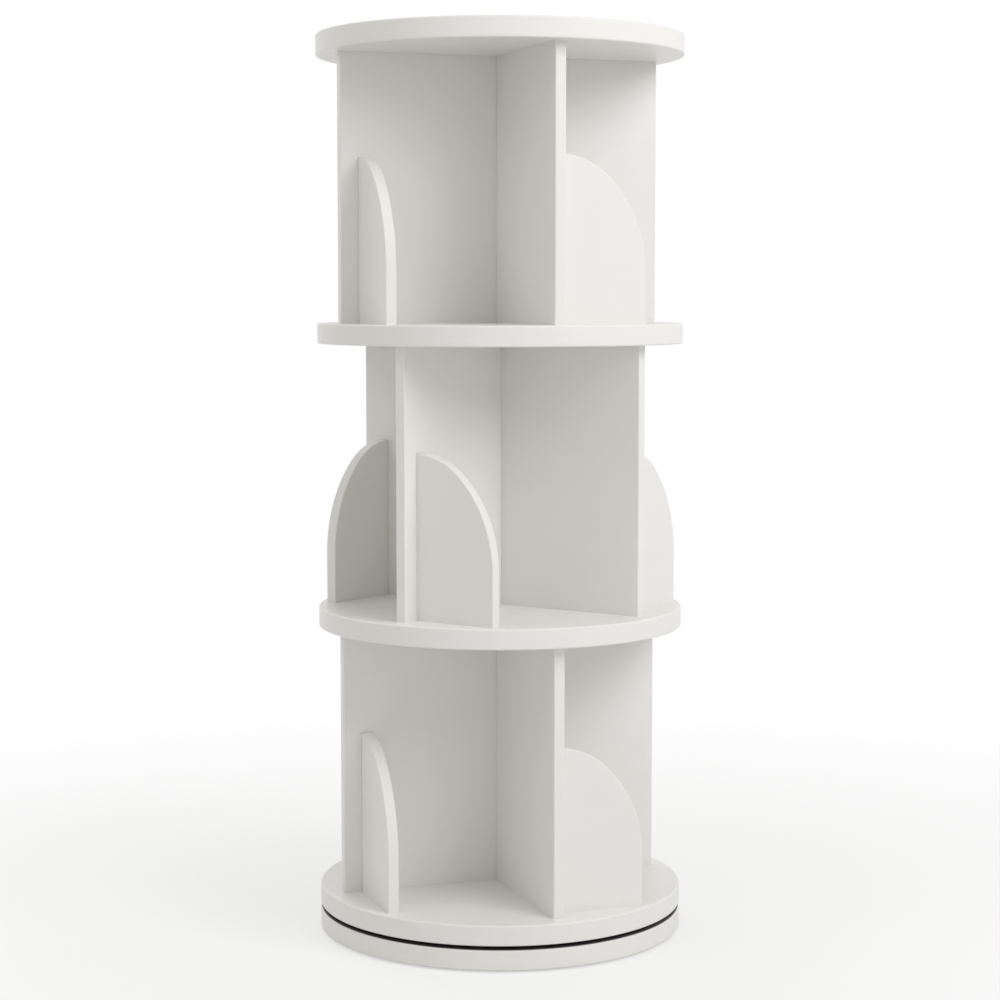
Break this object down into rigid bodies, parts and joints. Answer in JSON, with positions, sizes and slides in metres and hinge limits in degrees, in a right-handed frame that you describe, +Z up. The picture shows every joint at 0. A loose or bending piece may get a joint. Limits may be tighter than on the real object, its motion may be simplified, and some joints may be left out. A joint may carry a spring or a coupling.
{
  "type": "revolving bookcase",
  "caption": "Round white floor bookcase whose stacked tiers, each parted by crossed dividers with rounded book stops, turn together on a ball-bearing plinth.",
  "frame": {"origin": "on the floor under the axis of rotation, at the bottom of the foot pads", "axes": "+Z up along the axis of rotation; +X and +Y along the dividers of the top and bottom tiers"},
  "size_m": [0.3999, 0.4, 0.98],
  "materials": {
    "white_lacquer": "satin white lacquer on fibreboard",
    "aluminium": "turned",
    "plated_steel": "zinc plated",
    "cast_zinc": "die cast",
    "ball_steel": "polished",
    "cage_nylon": "moulded",
    "pad_rubber": "foamed"
  },
  "bodies": {
    "base": {"plinth": "white_lacquer", "foot_pads": "pad_rubber", "turntable_outer_ring": "aluminium", "outer_ring_screws": "plated_steel"},
    "cage": {"ball_cage": "cage_nylon", "bearing_balls": "ball_steel"},
    "tower": {"turntable_inner_ring": "aluminium", "inner_ring_screws": "plated_steel", "bottom_shelf": "white_lacquer", "lower_shelf": "white_lacquer", "upper_shelf": "white_lacquer", "top_panel": "white_lacquer", "bottom_long_divider": "white_lacquer", "bottom_cross_divider": "white_lacquer", "bottom_stop_1": "white_lacquer", "bottom_stop_2": "white_lacquer", "bottom_stop_3": "white_lacquer", "bottom_stop_4": "white_lacquer", "bottom_board_screws": "plated_steel", "bottom_cam_bolts": "plated_steel", "bottom_cam_locks": "cast_zinc", "middle_long_divider": "white_lacquer", "middle_cross_divider": "white_lacquer", "middle_stop_1": "white_lacquer", "middle_stop_2": "white_lacquer", "middle_stop_3": "white_lacquer", "middle_stop_4": "white_lacquer", "middle_board_screws": "plated_steel", "middle_cam_bolts": "plated_steel", "middle_cam_locks": "cast_zinc", "top_long_divider": "white_lacquer", "top_cross_divider": "white_lacquer", "top_stop_1": "white_lacquer", "top_stop_2": "white_lacquer", "top_stop_3": "white_lacquer", "top_stop_4": "white_lacquer", "top_board_screws": "plated_steel", "top_cam_bolts": "plated_steel", "top_cam_locks": "cast_zinc"}
  },
  "joints": [
    {"name": "revolve", "type": "hinge", "parent": "base", "child": "tower", "pos_m": [0, 0, 0.0235], "axis": [0, 0, 1], "continuous": true},
    {"name": "cage_orbit", "type": "hinge", "parent": "base", "child": "cage", "pos_m": [0, 0, 0.0235], "axis": [0, 0, 1], "continuous": true}
  ],
  "couplings": [
    {"joint": "cage_orbit", "follows": "revolve", "ratio": 0.488}
  ]
}
